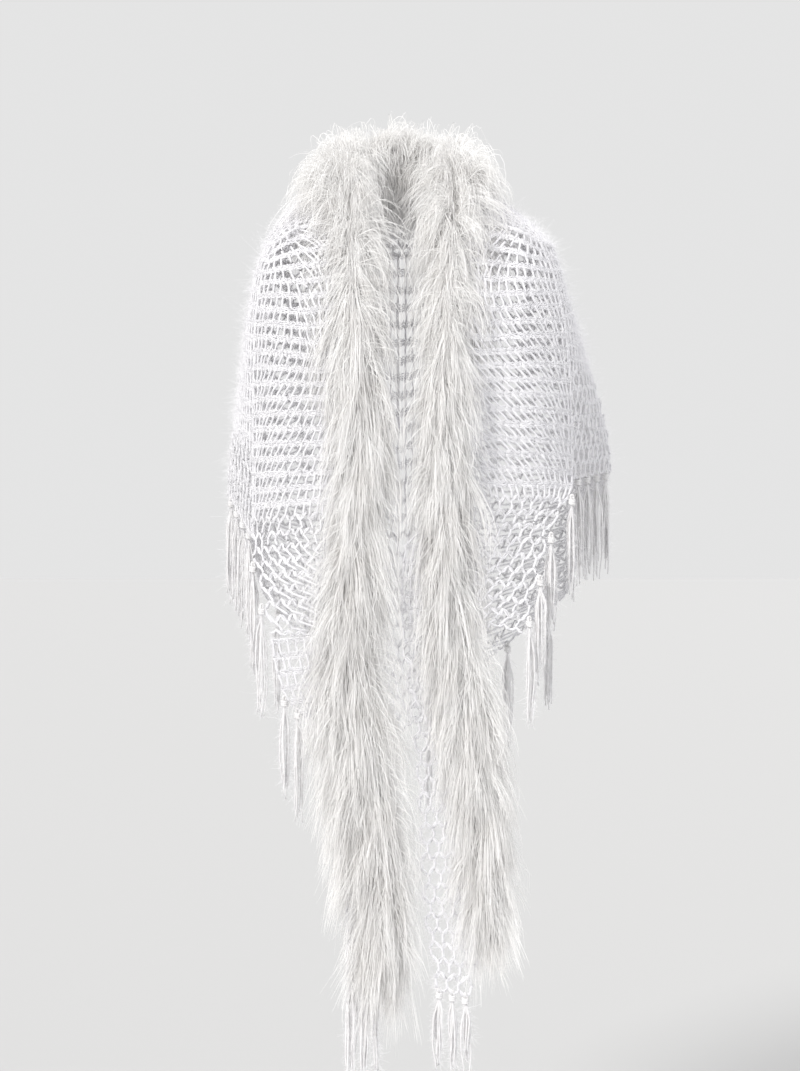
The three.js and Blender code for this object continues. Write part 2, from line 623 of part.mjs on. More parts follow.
// The back's hem at a share of its half width, signed: a point on three straight lines.
function backHem(share) {
  const side = share < 0 ? -1 : 1;
  const across = Math.abs(share);
  const corner = (side < 0 ? LEFT_WING_HEM : RIGHT_WING_HEM)[1];
  const width = backEdge(side, corner);
  const cornerAt = vec(side * width, WING_HALF + PANEL_GAP, -corner);
  const shoulderAt = vec(side * width * BACK_SHOULDER, BACK_SHOULDER_DEPTH, -BACK_SHOULDER_HEM);
  const pointAt = vec(0, BACK_POINT_DEPTH, -BACK_POINT_HEM);
  if (across <= BACK_SHOULDER) return pointAt.lerp(shoulderAt, across / BACK_SHOULDER);
  return shoulderAt.lerp(cornerAt, (across - BACK_SHOULDER) / (1 - BACK_SHOULDER));
}
function backPanel() {
  const shares = [-1, -0.94, -0.87, -0.8, -0.6, -0.4, -0.2, 0, 0.2, 0.4, 0.6, 0.8, 0.87, 0.94, 1];
  const rows = 12;
  const grid = [];
  for (let i = 0; i <= rows; i += 1) {
    const down = i / rows;
    grid.push(shares.map((share) => {
      const side = share < 0 ? -1 : 1;
      const hem = backHem(share);
      const drop = lerp(WING_TOP, -hem.z, down);
      const corner = (side < 0 ? LEFT_WING_HEM : RIGHT_WING_HEM)[1];
      const width = backEdge(side, Math.min(drop, corner));
      const x = lerp(share * width, hem.x, down ** 2);
      const reach = outlineSide(side, drop) + flare(side, WING_HALF, drop);
      const onOutline = outlineDepth(1, drop) * round(x / reach);
      const edge = WING_HALF + PANEL_GAP;
      const y = lerp(Math.max(onOutline, edge), hem.y, down ** 3);
      const at = vec(x, Math.abs(share) === 1 ? edge : y, -drop);
      if (i === 0) return { at, normal: outlineNormal(x, at.y) };
      return Math.abs(share) === 1 ? { at, normal: vec(side, 0, 0) } : { at, facing: vec(side * 0.2, 1, 0) };
    }));
  }
  return cloth(grid);
}

// A flat strip of net bound to the cord; towards is 1 on the net's side and -1 across from it.
function strip(from, to, widths, towards) {
  const rows = framesBetween(from, to).map((frame) => {
    const width = along(widths, -frame.at.z);
    return [0, 1, 2, 3].map((j) => bound(frame, towards * lerp(NET_EDGE, width, j / 3)));
  });
  return cloth(rows);
}

// ---- tassels ----------------------------------------------------------------------------------
function tasselGeometry(length) {
  const points = [0, 30, 60, 90, 120, 145].map((degrees) => {
    const angle = THREE.MathUtils.degToRad(degrees);
    return new THREE.Vector2(KNOT_RADIUS * Math.sin(angle), -KNOT_RADIUS * (1 - Math.cos(angle)));
  });
  points.push(new THREE.Vector2(SKIRT_RADIUS, -0.3 * length));
  points.push(new THREE.Vector2(SKIRT_RADIUS * 0.85, -0.7 * length));
  points.push(new THREE.Vector2(SKIRT_RADIUS * 0.3, -0.98 * length));
  points.push(new THREE.Vector2(0, -length));
  const geometry = new THREE.LatheGeometry(points.reverse(), TASSEL_SIDES);
  return geometry.rotateX(Math.PI / 2);
}

// ---- assembly -----------------------------------------------------------------------------------
const shawl = new THREE.Group();

function add(name, geometry, color, roughness, at = null) {
  const material = new THREE.MeshStandardMaterial({ color, roughness, metalness: 0 });
  const mesh = new THREE.Mesh(geometry, material);
  mesh.name = name;
  if (at) mesh.position.copy(at);
  shawl.add(mesh);
}
const addFeather = (name, geometry) => add(name, geometry, WHITE_FEATHER, 0.75);
const addNet = (name, geometry) => add(name, geometry, WHITE_NET, 0.95);
const addCord = (name, geometry) => add(name, geometry, CORD_WHITE, 0.9);

// The way a hem faces, square to it: downward where the cloth hangs straight above it, or
// else the way that outward says, from the cloth past the hem.
function hemFacing(from, to, outward = vec(0, 0, -1)) {
  const hem = to.clone().sub(from).normalize();
  return outward.clone().addScaledVector(hem, -outward.dot(hem)).normalize();
}

// A tassel whose knot hangs TOUCH off a point of a hem.
function addTassel(name, hemPoint, facing, length = TASSEL_LENGTH) {
  const seat = KNOT_RADIUS * KNOT_FLAT + TOUCH;
  const top = hemPoint.clone().addScaledVector(facing, seat).add(vec(0, 0, KNOT_RADIUS));
  add(name, tasselGeometry(length), WHITE_YARN, 0.95, top);
}

// Tassels along a straight hem.
function addFringe(name, from, to, shares, length = TASSEL_LENGTH) {
  const facing = hemFacing(from, to);
  shares.forEach((share, i) => {
    addTassel(`${name}_tassel_${i + 1}`, from.clone().lerp(to, share), facing, length);
  });
}

function addBoa() {
  const thickEnd = placeAfter(AT.leftHinge, CORD_RADIUS + TOUCH);
  const thinEnd = placeAfter(AT.rightHinge, -CORD_RADIUS - TOUCH);
  const yarnAway = 8;
  addCord('core_cord_neck', coreCord(thickEnd, thinEnd));
  addCord('core_cord_left_tail', coreCord(AT.leftCordEnd, AT.leftHinge, 1));
  addCord('core_cord_right_tail', coreCord(AT.rightHinge, AT.rightCordEnd, -1));
  addCord(
    'binding_yarn_neck',
    bindingYarn(placeAfter(AT.leftHinge, yarnAway), placeAfter(AT.rightHinge, -yarnAway)),
  );
  addCord(
    'binding_yarn_left_tail',
    bindingYarn(placeAfter(AT.leftCordEnd, 2), placeAfter(AT.leftHinge, -yarnAway)),
  );
  addCord(
    'binding_yarn_right_tail',
    bindingYarn(placeAfter(AT.rightHinge, yarnAway), placeAfter(AT.rightCordEnd, -2)),
  );
  addCord('left_end_binding', endBinding(AT.leftCordEnd, -1));
  addCord('right_end_binding', endBinding(AT.rightCordEnd, 1));
  const half = SEGMENT_GAP / 2;
  const lengths = [
    ['left_tail', AT.leftCordEnd, placeAfter(AT.leftHinge, -JOINT_GAP),
      (low, high) => Math.min(tipTaper(low), hingeTaper(high))],
    ['left_front', placeAfter(AT.leftHinge, JOINT_GAP), placeAfter(AT.collarLeft, -half),
      (low) => hingeTaper(low)],
    ['collar', placeAfter(AT.collarLeft, half), placeAfter(AT.collarRight, -half), even],
    ['right_front', placeAfter(AT.collarRight, half), placeAfter(AT.rightHinge, -JOINT_GAP),
      (low, high) => hingeTaper(high)],
    ['right_tail', placeAfter(AT.rightHinge, JOINT_GAP), AT.rightCordEnd,
      (low, high) => Math.min(hingeTaper(low), tipTaper(high))],
  ];
  for (const [name, from, to, full] of lengths) {
    addFeather(`${name}_outer_ply`, featherPly(from, to, 1, full));
    addFeather(`${name}_inner_ply`, featherPly(from, to, -1, full));
  }
}

function addNets() {
  addNet('net_left_shoulder', yokePanel(FRONT_TOP_LEFT, NAPE_LEFT, 0, 1));
  addNet('net_upper_back', yokePanel(NAPE_LEFT, NAPE_RIGHT, 1, 2));
  addNet('net_right_shoulder', yokePanel(NAPE_RIGHT, FRONT_TOP_RIGHT, 2, 3));
  addNet('net_left_front', frontPanel(-1));
  addNet('net_right_front', frontPanel(1));
  addNet('net_left_wing', wingPanel(-1));
  addNet('net_right_wing', wingPanel(1));
  addNet('net_back', backPanel());
  addNet('net_left_tail', strip(AT.leftNetEnd, placeAfter(AT.leftHinge, -PANEL_GAP), LEFT_TAIL_NET, 1));
  addNet(
    'net_right_tail',
    strip(placeAfter(AT.rightHinge, PANEL_GAP), AT.rightNetEnd, RIGHT_TAIL_NET, -1),
  );
  const innerTop = placeAtDrop(1, INNER_NET[0][0]);
  addNet('net_right_turnback', strip(innerTop, placeAfter(AT.rightHinge, -PANEL_GAP), INNER_NET, -1));
}

function addTassels() {
  addFringe('left_wing', ...wingHemLine(-1), [0.14, 0.38, 0.62, 0.86]);
  addFringe('right_wing', ...wingHemLine(1), [0.14, 0.38, 0.62, 0.86]);
  for (const [name, side] of [['back_left', -1], ['back_right', 1]]) {
    addFringe(name, backHem(side * 0.04), backHem(side * BACK_SHOULDER), [0.12, 0.37, 0.62, 0.87]);
  }
  for (const [name, side, drops] of FRONT_TASSELS) {
    drops.forEach((drop, i) => {
      const [above, below] = [frontHem(side, drop - KNOT_RADIUS), frontHem(side, drop + KNOT_RADIUS)];
      const row = frontRow(side, frameAt(placeAtDrop(side, drop)));
      const [inside, edge] = row.slice(-2).map((point) => point.at);
      const facing = hemFacing(above, below, edge.clone().sub(inside));
      addTassel(`${name}_tassel_${i + 1}`, frontHem(side, drop), facing);
    });
  }
  const hemAt = (side, drop, towards, rows) => {
    return offset(frameAt(placeAtDrop(side, drop)), towards * along(rows, drop), 0);
  };
  const [, hemTop, hemLow] = LEFT_TAIL_NET;
  addFringe(
    'left_hem',
    hemAt(-1, hemTop[0], 1, LEFT_TAIL_NET),
    hemAt(-1, hemLow[0], 1, LEFT_TAIL_NET),
    [0.15, 0.85],
  );
  const ends = [0.1, 0.5, 0.9];
  addFringe(
    'left_tail',
    offset(frameAt(AT.leftNetEnd), NET_EDGE, 0),
    hemAt(-1, LEFT_NET_END, 1, LEFT_TAIL_NET),
    ends,
  );
  addFringe(
    'right_tail',
    offset(frameAt(AT.rightNetEnd), -NET_EDGE, 0),
    hemAt(1, RIGHT_NET_END, -1, RIGHT_TAIL_NET),
    ends,
    SHORT_TASSEL_LENGTH,
  );
}

addBoa();
addNets();
addTassels();

export default shawl;
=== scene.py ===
"""Feather-edged openwork shawl: an ostrich boa on a core cord, a mohair net and yarn tassels."""
import bpy
import json
import math
import numpy as np
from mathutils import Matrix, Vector

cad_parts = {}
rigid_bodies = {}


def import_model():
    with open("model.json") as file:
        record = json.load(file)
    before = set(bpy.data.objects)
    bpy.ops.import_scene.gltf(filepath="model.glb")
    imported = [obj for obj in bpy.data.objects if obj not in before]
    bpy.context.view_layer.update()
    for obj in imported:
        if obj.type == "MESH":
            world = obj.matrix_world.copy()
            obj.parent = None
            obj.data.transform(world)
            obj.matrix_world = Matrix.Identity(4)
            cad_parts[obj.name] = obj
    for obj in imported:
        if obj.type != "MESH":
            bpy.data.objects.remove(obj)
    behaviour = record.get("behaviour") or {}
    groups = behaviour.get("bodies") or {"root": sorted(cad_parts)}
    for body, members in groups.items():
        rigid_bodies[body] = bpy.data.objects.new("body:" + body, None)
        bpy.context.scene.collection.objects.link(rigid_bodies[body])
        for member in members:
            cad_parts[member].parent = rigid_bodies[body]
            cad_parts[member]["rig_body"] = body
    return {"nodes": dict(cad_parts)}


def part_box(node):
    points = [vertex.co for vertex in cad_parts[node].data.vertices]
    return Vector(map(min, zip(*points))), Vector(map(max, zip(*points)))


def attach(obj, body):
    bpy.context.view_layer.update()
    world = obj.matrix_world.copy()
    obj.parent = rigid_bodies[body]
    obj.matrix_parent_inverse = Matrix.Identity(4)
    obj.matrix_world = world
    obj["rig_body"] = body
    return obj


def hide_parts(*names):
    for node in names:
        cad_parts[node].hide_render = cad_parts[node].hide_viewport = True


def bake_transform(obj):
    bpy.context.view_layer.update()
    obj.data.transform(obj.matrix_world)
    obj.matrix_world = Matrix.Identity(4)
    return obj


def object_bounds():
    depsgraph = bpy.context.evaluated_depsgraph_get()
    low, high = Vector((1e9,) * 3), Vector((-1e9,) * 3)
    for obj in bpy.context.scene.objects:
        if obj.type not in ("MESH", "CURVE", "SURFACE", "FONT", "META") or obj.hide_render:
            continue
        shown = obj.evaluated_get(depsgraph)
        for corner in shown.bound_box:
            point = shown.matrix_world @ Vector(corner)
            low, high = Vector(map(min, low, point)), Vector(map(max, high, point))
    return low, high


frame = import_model()
CAD_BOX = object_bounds()
MM = 0.001

# ---- the boa's route, in millimetres, as the CAD part has it ------------------------------
COLLAR_HALF_WIDTH, COLLAR_BACK, COLLAR_HEIGHT, COLLAR_RISE = 79, 77, 10, 26
FRONT_START, FRONT_STEP, CHEST_DEPTH, SHOULDER_DEPTH, CHEST_DROP = 58, 72.5, 155, 40, 290
HINGE_DROP = 638
LEFT_SWAY = [-68, -64, -62, -51, -49, -50, -58, -67, -70, -59, -52, -38, -26, -22, -20, -20]
RIGHT_SWAY = [78, 74, 69, 61, 62, 66, 68, 71, 83, 97, 109, 116, 122, 125, 120, 105]
LEFT_FULLNESS = [70, 64, 58, 52, 52, 56, 66, 72, 72, 69, 68, 61, 52, 48, 40, 30]
RIGHT_FULLNESS = [66, 56, 47, 46, 49, 52, 52, 49, 50, 51, 47, 41, 30, 20, 16, 16]
LEFT_CORD_END, RIGHT_CORD_END = 1073, 1000
COLLAR_DOWN, COLLAR_UP_NAPE, COLLAR_UP_SIDE, COLLAR_OUT, COLLAR_TO_NECK = 48, 50, 28, 52, 22
MOST_DEPTH, DEPTH_OF_WIDTH, BOA_CLEARANCE = 52, 0.85, 4
COLLAR_POINTS = 7
NET_EDGE = 5.4
NET_LEAVE = 6
YOKE_DROP = 82
ROUNDNESS = 2.5
OUTLINE = np.array([
    [82, 190, 222, 118, 122], [120, 207, 236, 130, 128], [200, 216, 252, 142, 134],
    [300, 217, 260, 148, 138], [500, 217, 262, 150, 142], [900, 217, 262, 150, 150],
], float)
WING_HALF, PANEL_GAP = 62, 1.5
FLARE = {-1: 44, 1: 72}
FLARE_START, FLARE_END = 150, 430
WING_HEM = {-1: (505, 440), 1: (420, 406)}
FRONT_HEM = {
    -1: [[505, 207], [638, 177]],
    1: [[420, 250], [493, 213], [624, 177], [638, 172]],
}
HEM_FLAT_DROP = 505
BACK_SHOULDER, BACK_SHOULDER_HEM, BACK_SHOULDER_DEPTH = 0.8, 590, 105
BACK_POINT_HEM, BACK_POINT_DEPTH = 800, 150
TAIL_NET = {
    -1: [[638, 107], [715, 100], [745, 76], [775, 50], [1112, 50]],
    1: [[638, 78], [740, 84], [855, 88], [957, 91], [1000, 90], [1073, 80], [1145, 52]],
}
NET_END = {-1: 1112, 1: 1145}
INNER_NET = [[480, 20], [510, 58], [638, 76]]
FRONT_TOP, FRONT_SETTLE = 42, 150


def lerp(a, b, t):
    return a + (b - a) * t


def smooth(x, low, high):
    t = np.clip((x - low) / (high - low), 0, 1)
    return t * t * (3 - 2 * t)


def unit(v):
    return v / np.maximum(np.linalg.norm(v, axis=-1, keepdims=True), 1e-9)


def along(rows, place, column=1):
    rows = np.asarray(rows, float)
    return np.interp(place, rows[:, 0], rows[:, column])


def front_point(side, step):
    left = side < 0
    drop = FRONT_START + FRONT_STEP * step
    forward = math.sin(min(drop / CHEST_DROP, 1) * math.pi / 2)
    full = (LEFT_FULLNESS if left else RIGHT_FULLNESS)[step]
    apart = RIGHT_SWAY[step] - LEFT_SWAY[step]
    back = 0.33 * smooth(drop, 60, 200) * (1 - smooth(drop, 480, 600))
    deep = min(full * DEPTH_OF_WIDTH, MOST_DEPTH)
    at = [(LEFT_SWAY if left else RIGHT_SWAY)[step], -lerp(SHOULDER_DEPTH, CHEST_DEPTH, forward), -drop]
    leave = [side, back, -0.5 * (1 - smooth(drop, 20, 110))]
    return at, leave, [full, min(full, apart / 2 - BOA_CLEARANCE), deep, deep]


def collar_point(turn):
    c, nape = math.cos(turn * math.pi), math.sin(turn * math.pi)
    at = [-COLLAR_HALF_WIDTH * c, COLLAR_BACK * nape, COLLAR_HEIGHT + COLLAR_RISE * nape]
    up = lerp(COLLAR_UP_SIDE, COLLAR_UP_NAPE, nape * nape)
    return at, [-c, 0.92 * nape, -0.5 - 1.7 * nape * nape], [COLLAR_DOWN, up, COLLAR_OUT, COLLAR_TO_NECK]


ROUTE = [front_point(-1, k) for k in range(15, -1, -1)]
ROUTE += [collar_point(k / (COLLAR_POINTS - 1)) for k in range(COLLAR_POINTS)]
ROUTE += [front_point(1, k) for k in range(16)]
FIRST, LAST = 16, 16 + COLLAR_POINTS - 1
FINE = 40


def curve_point(points, place):
    """Centripetal Catmull-Rom through the points, at a place counted in points."""
    i = min(int(place), len(points) - 2)
    t = place - i
    p1, p2 = points[i], points[i + 1]
    p0 = points[i - 1] if i > 0 else 2 * p1 - p2
    p3 = points[i + 2] if i + 2 < len(points) else 2 * p2 - p1
    d0, d1, d2 = (math.sqrt(np.linalg.norm(b - a)) for a, b in ((p0, p1), (p1, p2), (p2, p3)))
    t1 = ((p1 - p0) / d0 - (p2 - p0) / (d0 + d1) + (p2 - p1) / d1) * d1
    t2 = ((p2 - p1) / d1 - (p3 - p1) / (d1 + d2) + (p3 - p2) / d2) * d1
    return p1 + t1 * t + (-3 * p1 + 3 * p2 - 2 * t1 - t2) * t**2 + (2 * p1 - 2 * p2 + t1 + t2) * t**3


KNOTS = np.array([r[0] for r in ROUTE], float)
PLACES = np.arange((len(ROUTE) - 1) * FINE + 1) / FINE
LINE = np.array([curve_point(KNOTS, p) for p in PLACES])
TANGENT = unit(np.gradient(LINE, axis=0))


def between_knots(values):
    """Rows of values stated at the route's points, at every fine place between them."""
    values = np.array(values, float)
    knots = range(len(values))
    return np.stack([np.interp(PLACES, knots, values[:, k]) for k in range(values.shape[1])], -1)


LEAVE = between_knots([r[1] for r in ROUTE])
NET_WAY = unit(LEAVE - TANGENT * (LEAVE * TANGENT).sum(1, keepdims=True))
OUTSIDE = unit(np.cross(TANGENT, NET_WAY))
REACH = between_knots([r[2] for r in ROUTE])
LENGTH = np.concatenate([[0], np.cumsum(np.linalg.norm(np.diff(LINE, axis=0), axis=1))])


def table_at(table, place):
    place = np.asarray(place, float)
    return np.stack([np.interp(place, PLACES, table[:, k]) for k in range(table.shape[1])], -1)


def place_at_drop(side, drop):
    half = PLACES < FIRST if side < 0 else PLACES > LAST
    z, p = -LINE[half, 2], PLACES[half]
    order = np.argsort(z)
    return float(np.interp(drop, z[order], p[order]))


def place_after(place, distance):
    return float(np.interp(np.interp(place, PLACES, LENGTH) + distance, LENGTH, PLACES))


def offset(place, u, v=0.0):
    u, v = np.asarray(u, float)[..., None], np.asarray(v, float)[..., None]
    return table_at(LINE, place) + table_at(NET_WAY, place) * u + table_at(OUTSIDE, place) * v


HINGE = {s: place_at_drop(s, HINGE_DROP) for s in (-1, 1)}
CORD_END = {-1: place_at_drop(-1, LEFT_CORD_END), 1: place_at_drop(1, RIGHT_CORD_END)}
COLLAR_ENDS = {-1: FIRST - 0.35, 1: LAST + 0.35}


# ---- meshes from arrays ------------------------------------------------------------------
def mesh_object(name, points, faces, material, tip=None):
    """A mesh object from points in millimetres and faces, with a value from root to tip."""
    faces = [np.asarray(f, np.int32) for f in (faces if isinstance(faces, list) else [faces]) if len(f)]
    me = bpy.data.meshes.new(name)
    me.vertices.add(len(points))
    me.vertices.foreach_set("co", (np.asarray(points, np.float32) * MM).ravel())
    loops = np.concatenate([f.ravel() for f in faces])
    sizes = np.concatenate([np.full(len(f), f.shape[1], np.int32) for f in faces])
    starts = np.concatenate([[0], np.cumsum(sizes)[:-1]]).astype(np.int32)
    me.loops.add(len(loops))
    me.loops.foreach_set("vertex_index", loops)
    me.polygons.add(len(sizes))
    me.polygons.foreach_set("loop_start", starts)
    me.polygons.foreach_set("loop_total", sizes)
    me.polygons.foreach_set("use_smooth", np.ones(len(sizes), bool))
    if tip is not None:
        values = me.attributes.new("tip", "FLOAT", "POINT").data
        values.foreach_set("value", np.asarray(tip, np.float32).ravel())
    me.update(calc_edges=True)
    me.materials.append(material)
    ob = bpy.data.objects.new(name, me)
    bpy.context.scene.collection.objects.link(ob)
    return ob


# How far hairs and barbs may stand out of the CAD part's box.
SPARE = np.array([24.0, 18.0, 40.0])
LOWEST = np.array(CAD_BOX[0]) / MM - SPARE
HIGHEST = np.array(CAD_BOX[1]) / MM + SPARE


def kept_in_box(curves):
    """Curves shortened towards their roots where they would stand further out than SPARE."""
    root = curves[:, :1]
    away = curves - root
    room = np.where(away > 0, HIGHEST - root, LOWEST - root)
    share = np.max(away / np.where(np.abs(room) < 1, np.sign(room) + (room == 0), room), axis=(1, 2))
    return root + away / np.maximum(share, 1)[:, None, None]


def ribbons(curves, widths, rng):
    """Points, quads and tips of flat ribbons along curves (N, K, 3) with widths (N, K)."""
    curves = kept_in_box(curves)
    n, k, _ = curves.shape
    way = unit(np.gradient(curves, axis=1))
    spin = unit(rng.normal(size=(n, 1, 3)))
    side = unit(np.cross(way, spin)) * widths[..., None] / 2
    points = np.stack([curves - side, curves + side], 2).reshape(-1, 3)
    base = (np.arange(n)[:, None] * k + np.arange(k - 1)[None]).reshape(-1) * 2
    quads = np.stack([base, base + 1, base + 3, base + 2], 1)
    tip = np.broadcast_to(np.linspace(0, 1, k)[None, :, None], (n, k, 2))
    return points, quads, tip


def tubes(curves, radii, sides=5):
    """Points and faces of closed tubes along curves (N, K, 3) with radii (N, K)."""
    n, k, _ = curves.shape
    way = unit(np.gradient(curves, axis=1))
    guess = np.where(np.abs(way[..., 2:3]) > 0.8, np.array([0.0, 1.0, 0.0]), np.array([0.0, 0.0, 1.0]))
    one = unit(np.cross(way, guess))
    two = np.cross(way, one)
    a = 2 * np.pi * np.arange(sides) / sides
    ring = one[:, :, None] * np.cos(a)[:, None] + two[:, :, None] * np.sin(a)[:, None]
    points = (curves[:, :, None] + ring * radii[:, :, None, None]).reshape(-1, 3)
    start = np.arange(n)[:, None, None] * k * sides + np.arange(k - 1)[None, :, None] * sides
    j = np.arange(sides)
    a0, b0 = start + j, start + (j + 1) % sides
    quads = np.stack([a0, b0, b0 + sides, a0 + sides], -1).reshape(-1, 4)
    first = np.arange(n)[:, None] * k * sides
    fan = np.arange(1, sides - 1)
    low = np.stack([first + 0 * fan, first + fan + 1, first + fan], -1).reshape(-1, 3)
    end = first + (k - 1) * sides
    high = np.stack([end + 0 * fan, end + fan, end + fan + 1], -1).reshape(-1, 3)
    return points, [quads, np.concatenate([low, high])]


# ---- materials -----------------------------------------------------------------------------
def fibre_material(name, colour, shade, roughness, through, spots=90.0, root_shade_share=0.0):
    """A soft white fibre: colour drifting to shade in random spots, optionally with painted shade darkening
    it towards the roots, and light let through by the share through.
    """
    mat = bpy.data.materials.new(name)
    mat.use_nodes = True
    nodes, links = mat.node_tree.nodes, mat.node_tree.links
    nodes.clear()
    out = nodes.new("ShaderNodeOutputMaterial")
    mix = nodes.new("ShaderNodeMixShader")
    mix.inputs[0].default_value = through
    main = nodes.new("ShaderNodeBsdfPrincipled")
    main.inputs["Roughness"].default_value = roughness
    main.inputs["Specular IOR Level"].default_value = 0.3
    glow = nodes.new("ShaderNodeBsdfTranslucent")
    where = nodes.new("ShaderNodeTexCoord")
    noise = nodes.new("ShaderNodeTexNoise")
    noise.inputs["Scale"].default_value = spots
    noise.inputs["Detail"].default_value = 3.0
    ramp = nodes.new("ShaderNodeMapRange")
    ramp.inputs["From Min"].default_value = 0.35
    ramp.inputs["From Max"].default_value = 0.7
    blend = nodes.new("ShaderNodeMix")
    blend.data_type = "RGBA"
    blend.inputs["A"].default_value = (*colour, 1)
    blend.inputs["B"].default_value = (*shade, 1)
    links.new(where.outputs["Object"], noise.inputs["Vector"])
    links.new(noise.outputs["Fac"], ramp.inputs["Value"])
    fac = ramp.outputs["Result"]
    # Painted shade: the colour turns to the darker one near each barb's root, over the given share of its
    # length, where the locks shade each other.
    if root_shade_share:
        tip = nodes.new("ShaderNodeAttribute")
        tip.attribute_name = "tip"
        root = nodes.new("ShaderNodeMapRange")
        root.inputs["From Max"].default_value = root_shade_share
        root.inputs["To Min"].default_value = 1.0
        root.inputs["To Max"].default_value = 0.0
        spots_or_root_shade = nodes.new("ShaderNodeMath")
        spots_or_root_shade.operation = "MAXIMUM"
        links.new(tip.outputs["Fac"], root.inputs["Value"])
        links.new(root.outputs["Result"], spots_or_root_shade.inputs[0])
        links.new(fac, spots_or_root_shade.inputs[1])
        fac = spots_or_root_shade.outputs["Value"]
    links.new(fac, blend.inputs["Factor"])
    links.new(blend.outputs["Result"], main.inputs["Base Color"])
    links.new(blend.outputs["Result"], glow.inputs["Color"])
    links.new(main.outputs[0], mix.inputs[1])
    links.new(glow.outputs[0], mix.inputs[2])
    links.new(mix.outputs[0], out.inputs["Surface"])
    return mat


# The barbs carry painted shade, darker towards their roots over the first three tenths of their length.
FEATHER = fibre_material("ostrich_barbs", (0.95, 0.945, 0.94), (0.89, 0.88, 0.87), 0.5, 0.35, 25.0, 0.3)
MOHAIR = fibre_material("mohair_yarn", (0.93, 0.925, 0.945), (0.85, 0.845, 0.87), 0.9, 0.2, 120.0)
HALO = fibre_material("mohair_halo", (0.95, 0.945, 0.96), (0.91, 0.905, 0.92), 0.7, 0.4, 60.0)
TASSEL = fibre_material("tassel_yarn", (0.93, 0.925, 0.93), (0.83, 0.82, 0.82), 0.9, 0.2, 150.0)
COTTON = fibre_material("cotton_cord", (0.80, 0.78, 0.75), (0.66, 0.64, 0.60), 0.9, 0.1, 400.0)

# ---- feathers --------------------------------------------------------------------------------
BARB_POINTS = 9
LOCK_BARBS = 26
ROOT_RADIUS = 2.6                   # from the cord's middle to a barb's root
HANG_START, HANG_END = -30, 110     # drops over which barbs turn from standing to hanging
FEATHER_SEED, NET_SEED, TASSEL_SEED = 100, 300, 600


def feather_locks(start, end, face, count, rng):
    """Barb curves of locks rooted on the cord between two places, on one face of the boa."""
    locks = max(1, count // LOCK_BARBS)
    s0, s1 = np.interp([start, end], PLACES, LENGTH)
    s = rng.uniform(s0, s1, locks)
    place = np.interp(s, LENGTH, PLACES)
    turn = rng.uniform(-0.12, math.pi + 0.12, locks)
    reach = table_at(REACH, place)
    tangent = table_at(TANGENT, place)
    wide = np.where(np.cos(turn) > 0, reach[:, 0], reach[:, 1])
    deep = reach[:, 2] if face > 0 else reach[:, 3]
    size = rng.uniform(0.6, 1.2, locks)
    t = np.linspace(0, 1, BARB_POINTS)
    barbs = LOCK_BARBS
    shift = rng.normal(0, 5.5, (locks, barbs))
    s_each = np.clip(s[:, None] + shift, s0, s1)
    p_each = np.interp(s_each, LENGTH, PLACES)
    t_each = turn[:, None] + rng.normal(0, 0.16, (locks, barbs))
    n_way, b_way = table_at(NET_WAY, p_each), table_at(OUTSIDE, p_each)
    radial = n_way * np.cos(t_each)[..., None] + b_way * (face * np.sin(t_each))[..., None]
    radius = np.sqrt((wide[:, None] * np.cos(t_each)) ** 2 + (deep[:, None] * np.sin(t_each)) ** 2)
    root = table_at(LINE, p_each) + radial * ROOT_RADIUS
    hang = smooth(-root[..., 2], HANG_START, HANG_END)
    each = size[:, None] * rng.uniform(0.74, 1.1, (locks, barbs))
    out = radius * (0.56 + 0.62 * (1 - hang)) * each
    down = (46 + 66 * hang) * each * rng.uniform(0.8, 1.25, (locks, 1))
    rise = (34 * (1 - hang)) * rng.uniform(0.0, 1.2, (locks, 1))
    flow = tangent[:, None] * (rng.uniform(-14, 14, (locks, 1)))[..., None]
    lean = table_at(NET_WAY, place)[:, None] * rng.normal(4, 11, (locks, 1, 1))
    reach_out = 1 - (1 - t) ** 2.2
    drop = t**1.55
    curl_way = unit(rng.normal(size=(locks, 1, 3)) * [1, 1, 0.45])
    curl = rng.uniform(4, 19, (locks, 1)) * rng.uniform(0.6, 1.4, (locks, barbs))
    curl_turn = rng.uniform(0.7, 1.5, (locks, 1)) * math.pi
    phase = rng.uniform(0, math.pi, (locks, 1))
    wave = np.sin(curl_turn[..., None] * t**1.3 + phase[..., None]) - np.sin(phase)[..., None]
    spread = unit(rng.normal(size=(locks, barbs, 3))) * rng.gamma(2.0, 2.6, (locks, barbs))[..., None]
    curves = (
        root[:, :, None]
        + radial[:, :, None] * (out[..., None] * reach_out)[..., None]
        + np.array([0, 0, -1.0]) * (down[..., None] * drop)[..., None]
        + np.array([0, 0, 1.0]) * (rise[..., None] * np.sin(t * math.pi * 0.8))[..., None]
        + (flow + lean)[:, :, None] * (t**1.2)[None, None, :, None]
        + curl_way[:, :, None] * (curl[..., None] * wave * t**1.2)[..., None]
        + spread[:, :, None] * (t**1.5)[None, None, :, None]
    )
    return curves.reshape(-1, BARB_POINTS, 3)


